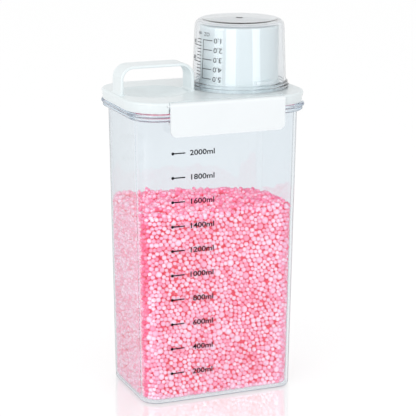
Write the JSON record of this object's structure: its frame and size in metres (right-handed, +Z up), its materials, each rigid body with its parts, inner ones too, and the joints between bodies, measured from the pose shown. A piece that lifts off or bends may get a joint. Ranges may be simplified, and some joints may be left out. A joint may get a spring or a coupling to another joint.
{
  "type": "laundry powder dispenser",
  "caption": "Clear rectangular jar for laundry beads or powder, with a white clip-on lid, a strap handle, a pouring neck and a measuring cup over it.",
  "frame": {"origin": "middle of the jar's underside, on the table", "axes": "+Z up, +X along the long side towards the pouring neck, +Y to the back"},
  "size_m": [0.148, 0.108, 0.2962],
  "materials": {
    "jar_clear": "clear polished plastic",
    "fill_pink": "small waxy beads",
    "lid_white": "semi-gloss white",
    "seal": "soft matt",
    "latch_white": "semi-gloss white",
    "cup_clear": "clear polished plastic",
    "ink": "black printed ink"
  },
  "bodies": {
    "container": {"jar": "jar_clear", "beads": "fill_pink", "lid": "lid_white", "gasket": "seal"},
    "front_clip": {"front_latch": "latch_white"},
    "rear_clip": {"rear_latch": "latch_white"},
    "cup": {"measuring_cup": "cup_clear"}
  },
  "joints": [
    {"name": "front_latch_hinge", "type": "hinge", "parent": "container", "child": "front_clip", "pos_m": [0, -0.05074, 0.2397], "axis": [-1, 0, 0], "range_deg": [0, 105]},
    {"name": "rear_latch_hinge", "type": "hinge", "parent": "container", "child": "rear_clip", "pos_m": [0, 0.05074, 0.2397], "axis": [1, 0, 0], "range_deg": [0, 105]},
    {"name": "cup_lift", "type": "slide", "parent": "container", "child": "cup", "axis": [0, 0, 1], "range_m": [0, 0.06]}
  ]
}
